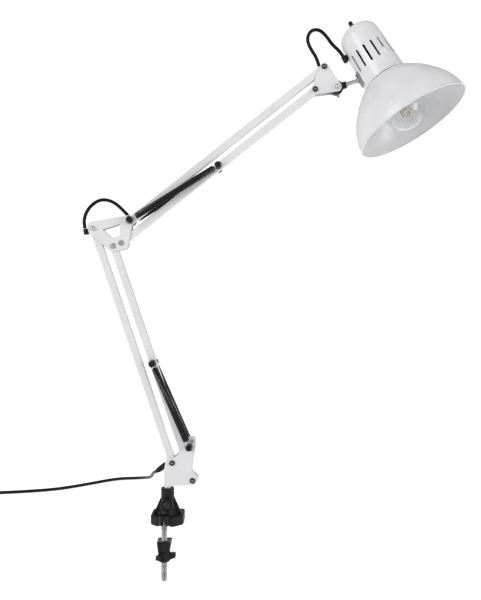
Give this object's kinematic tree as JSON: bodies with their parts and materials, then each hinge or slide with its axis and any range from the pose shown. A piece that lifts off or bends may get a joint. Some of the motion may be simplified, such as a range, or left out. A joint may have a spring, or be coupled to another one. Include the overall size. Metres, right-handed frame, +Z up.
{
  "type": "swing arm desk lamp",
  "caption": "White clamp-on desk lamp with two sprung parallelogram arms and a swivelling bell shade with a vented cap.",
  "frame": {"origin": "on the swivel axis, at the underside of the clamp's pad, which lies on the desk top", "axes": "+X along the desk edge towards the head, +Y over the desk away from the clamp screw, +Z up"},
  "size_m": [0.7994, 0.3052, 0.772],
  "materials": {
    "black_plastic": "moulded, satin",
    "black_rubber": "matte",
    "brass": "plated",
    "chrome": "polished",
    "clear_glass": "clear",
    "cord_black": "smooth PVC",
    "filament_amber": "coated light strips",
    "nylon": "natural nylon",
    "spring_black": "black oiled wire",
    "white_paint": "gloss powder coat",
    "white_plastic": "moulded",
    "zinc_steel": "zinc plated"
  },
  "bodies": {
    "clamp": {"clamp_body": "black_plastic", "clamp_pad": "black_rubber", "clamp_rod": "zinc_steel", "socket_set_screw": "zinc_steel", "socket_bush": "nylon", "mains_cord": "cord_black", "mains_coil": "cord_black", "mains_plug": "cord_black"},
    "lower_jaw": {"lower_jaw": "black_plastic", "jaw_pad": "black_rubber"},
    "clamp_wing_nut": {"clamp_wing_nut": "black_plastic"},
    "base_bracket": {"base_plate_front": "white_paint", "base_plate_back": "white_paint", "base_spindle": "white_paint", "base_pivot_bolts": "zinc_steel", "base_washers": "nylon", "base_spring_studs": "black_plastic", "cord_relief": "black_rubber", "mains_cord_lead": "cord_black"},
    "lower_left_bar": {"lower_left_bar": "white_paint", "lower_bar_lead": "cord_black", "elbow_gland": "black_rubber"},
    "lower_right_bar": {"lower_right_bar": "white_paint", "lower_spring_post": "black_plastic"},
    "lower_spring_coils": {"lower_springs": "spring_black"},
    "lower_spring_ends": {"lower_spring_hooks": "spring_black"},
    "elbow": {"elbow_plate_front": "white_paint", "elbow_plate_back": "white_paint", "elbow_acorn_bolt": "zinc_steel", "elbow_rivets": "zinc_steel", "elbow_spring_pin": "black_plastic", "elbow_washers": "nylon", "elbow_lead": "cord_black"},
    "upper_top_bar": {"upper_top_bar": "white_paint", "upper_bar_lead": "cord_black"},
    "upper_bottom_bar": {"upper_bottom_bar": "white_paint", "upper_spring_post": "black_plastic"},
    "upper_spring_coils": {"upper_springs": "spring_black"},
    "upper_spring_ends": {"upper_spring_hooks": "spring_black"},
    "head_bracket": {"head_plate_front": "white_paint", "head_plate_back": "white_paint", "head_pivot_bolts": "zinc_steel", "head_washers": "nylon", "yoke_bolt": "zinc_steel", "head_lead": "cord_black"},
    "yoke": {"yoke_knuckle": "black_plastic"},
    "head_wing_nut": {"head_wing_nut": "zinc_steel"},
    "head": {"stem_tube": "chrome", "side_bracket": "zinc_steel", "bracket_screws": "zinc_steel", "shade": "white_paint", "cap_housing": "white_paint", "head_gland": "black_rubber", "lampholder": "black_plastic", "shade_ring": "white_plastic", "bulb_glass": "clear_glass", "bulb_cap": "brass", "bulb_filaments": "filament_amber", "switch_body": "black_plastic"},
    "switch_knob": {"switch_knob": "black_plastic"}
  },
  "joints": [
    {"name": "clamp_nut_turn", "type": "hinge", "parent": "lower_jaw", "child": "clamp_wing_nut", "pos_m": [-0.0028, -0.017, -0.0396], "axis": [0, 0, 1], "range_deg": [-7210, 4560]},
    {"name": "jaw_slide", "type": "slide", "parent": "clamp", "child": "lower_jaw", "axis": [0, 0, 1], "range_m": [-0.025, 0.0158]},
    {"name": "base_swivel", "type": "hinge", "parent": "clamp", "child": "base_bracket", "pos_m": [0, 0, 0.0487], "axis": [0, 0, 1], "range_deg": [-170, 170]},
    {"name": "lower_arm", "type": "hinge", "parent": "base_bracket", "child": "lower_left_bar", "pos_m": [0.0068, 0, 0.08385], "axis": [0, 1, 0], "range_deg": [-12, 50]},
    {"name": "lower_right_turn", "type": "hinge", "parent": "base_bracket", "child": "lower_right_bar", "pos_m": [0.0347, 0, 0.05975], "axis": [0, 1, 0], "range_deg": [-12, 50]},
    {"name": "lower_spring_swing", "type": "hinge", "parent": "lower_right_bar", "child": "lower_spring_coils", "pos_m": [-0.01964, 0, 0.2203], "axis": [0, 1, 0], "range_deg": [-4.2, 17.5]},
    {"name": "lower_hook_swing", "type": "hinge", "parent": "base_bracket", "child": "lower_spring_ends", "pos_m": [0.0304, 0, 0.1065], "axis": [0, 1, 0], "range_deg": [-16.2, 67.5]},
    {"name": "elbow_turn", "type": "hinge", "parent": "lower_left_bar", "child": "elbow", "pos_m": [-0.10189, 0, 0.40495], "axis": [0, 1, 0], "range_deg": [-50, 12], "deforming": ["elbow_lead"]},
    {"name": "upper_arm", "type": "hinge", "parent": "elbow", "child": "upper_top_bar", "pos_m": [-0.05039, 0, 0.41605], "axis": [0, 1, 0], "range_deg": [-9, 50]},
    {"name": "upper_bottom_turn", "type": "hinge", "parent": "elbow", "child": "upper_bottom_bar", "pos_m": [-0.06289, 0, 0.38505], "axis": [0, 1, 0], "range_deg": [-9, 50]},
    {"name": "upper_spring_swing", "type": "hinge", "parent": "upper_bottom_bar", "child": "upper_spring_coils", "pos_m": [0.06995, 0, 0.49034], "axis": [0, 1, 0], "range_deg": [-0.99, 5.5]},
    {"name": "upper_hook_swing", "type": "hinge", "parent": "elbow", "child": "upper_spring_ends", "pos_m": [-0.05039, 0, 0.41605], "axis": [0, 1, 0], "range_deg": [-9.99, 55.5]},
    {"name": "head_bracket_turn", "type": "hinge", "parent": "upper_top_bar", "child": "head_bracket", "pos_m": [0.21528, 0, 0.62662], "axis": [0, 1, 0], "range_deg": [-50, 9], "deforming": ["head_lead"]},
    {"name": "yoke_tilt", "type": "hinge", "parent": "head_bracket", "child": "yoke", "pos_m": [0.23248, 0, 0.59952], "axis": [0, 1, 0], "range_deg": [-35, 40]},
    {"name": "stem_swivel", "type": "hinge", "parent": "yoke", "child": "head", "pos_m": [0.23248, 0, 0.59952], "axis": [0.9378, 0.0744, 0.3391], "range_deg": [-80, 80]},
    {"name": "head_nut_turn", "type": "hinge", "parent": "head_bracket", "child": "head_wing_nut", "pos_m": [0.23248, 0.012, 0.59952], "axis": [0, 1, 0], "range_deg": [-360, 90]},
    {"name": "switch_turn", "type": "hinge", "parent": "head", "child": "switch_knob", "pos_m": [0.25774, 0.01706, 0.69153], "axis": [-0.4622, 0.1925, 0.8656], "range_deg": [0, 90]}
  ],
  "couplings": [
    {"joint": "clamp_nut_turn", "follows": "jaw_slide", "rad_per_m": 5026.5},
    {"joint": "lower_right_turn", "follows": "lower_arm", "ratio": 1},
    {"joint": "lower_spring_swing", "follows": "lower_arm", "ratio": 0.35},
    {"joint": "lower_hook_swing", "follows": "lower_arm", "ratio": 1.35},
    {"joint": "elbow_turn", "follows": "lower_arm", "ratio": -1},
    {"joint": "upper_bottom_turn", "follows": "upper_arm", "ratio": 1},
    {"joint": "upper_spring_swing", "follows": "upper_arm", "ratio": 0.11},
    {"joint": "upper_hook_swing", "follows": "upper_arm", "ratio": 1.11},
    {"joint": "head_bracket_turn", "follows": "upper_arm", "ratio": -1}
  ]
}
